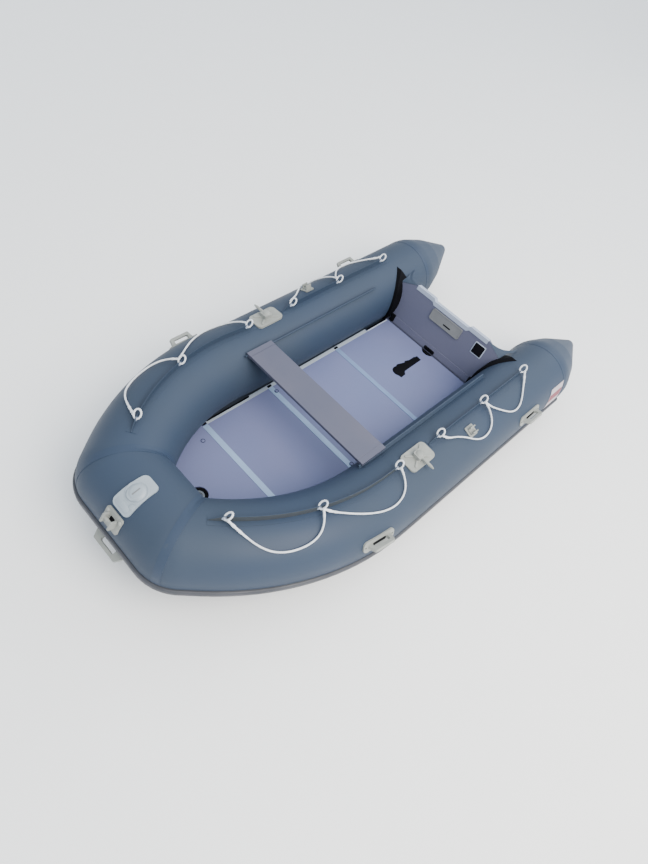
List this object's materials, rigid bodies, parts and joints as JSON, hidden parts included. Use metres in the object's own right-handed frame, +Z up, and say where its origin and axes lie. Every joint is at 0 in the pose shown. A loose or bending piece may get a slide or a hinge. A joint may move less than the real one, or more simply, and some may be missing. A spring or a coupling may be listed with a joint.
{
  "type": "soft-bottom inflatable boat with sectional floor",
  "caption": "Inflatable boat with round tubes in a U, a flat sectional floor, a raked outboard transom and a sliding thwart seat.",
  "frame": {"origin": "middle of the boat's length on the ground, on the centre line", "axes": "+X to the bow, +Y to port, +Z up; the tubes stand on Z = 0"},
  "size_m": [3.2352, 1.6944, 0.5812],
  "materials": {
    "hull_fabric": "satin coated cloth",
    "bottom_fabric": "satin coated cloth",
    "strake_rubber": "matte",
    "black_moulding": "matte",
    "board": "matte",
    "aluminium_section": "satin anodised",
    "white_moulding": "matte",
    "grey_moulding": "matte",
    "warm_grey_fitting": "matte moulded",
    "rope": "braided"
  },
  "bodies": {
    "hull": {"tube_port": "hull_fabric", "tube_starboard": "hull_fabric", "tube_bow": "hull_fabric", "cone_port": "hull_fabric", "cone_starboard": "hull_fabric", "rub_strake": "strake_rubber", "bottom_skin": "bottom_fabric", "keel_strip": "black_moulding", "floor_board_bow": "board", "floor_board_fore": "board", "floor_board_mid": "board", "floor_board_aft": "board", "keyhole_plate": "black_moulding", "joiner_fore": "aluminium_section", "joiner_mid": "aluminium_section", "joiner_aft": "aluminium_section", "stringer_port": "aluminium_section", "stringer_starboard": "aluminium_section", "keel_valve": "grey_moulding", "transom_board": "board", "transom_cap": "white_moulding", "transom_batten": "board", "motor_pad_inner": "grey_moulding", "motor_pad_outer": "grey_moulding", "drain_valve": "black_moulding", "transom_holder_port": "black_moulding", "transom_holder_starboard": "black_moulding", "seat_track_port": "hull_fabric", "seat_track_starboard": "hull_fabric", "rowlock_port": "warm_grey_fitting", "rowlock_starboard": "warm_grey_fitting", "oar_clip_port": "warm_grey_fitting", "oar_clip_starboard": "warm_grey_fitting", "handle_fore_port": "warm_grey_fitting", "handle_fore_starboard": "warm_grey_fitting", "handle_aft_port": "warm_grey_fitting", "handle_aft_starboard": "warm_grey_fitting", "bow_handle": "warm_grey_fitting", "bow_pad": "warm_grey_fitting", "towing_bracket": "warm_grey_fitting", "lifeline_patch_fore_port": "hull_fabric", "lifeline_patch_fore_starboard": "hull_fabric", "lifeline_patch_aft_port": "hull_fabric", "lifeline_patch_aft_starboard": "hull_fabric", "lifeline_eyelets": "white_moulding", "lifeline_rope_fore_port": "rope", "lifeline_rope_fore_starboard": "rope", "lifeline_rope_aft_port": "rope", "lifeline_rope_aft_starboard": "rope"},
    "seat": {"seat_board": "board", "seat_cap_port": "board", "seat_cap_starboard": "board"}
  },
  "joints": [
    {"name": "seat_slide", "type": "slide", "parent": "hull", "child": "seat", "axis": [1, 0, 0], "range_m": [-0.86, 0.012]}
  ]
}
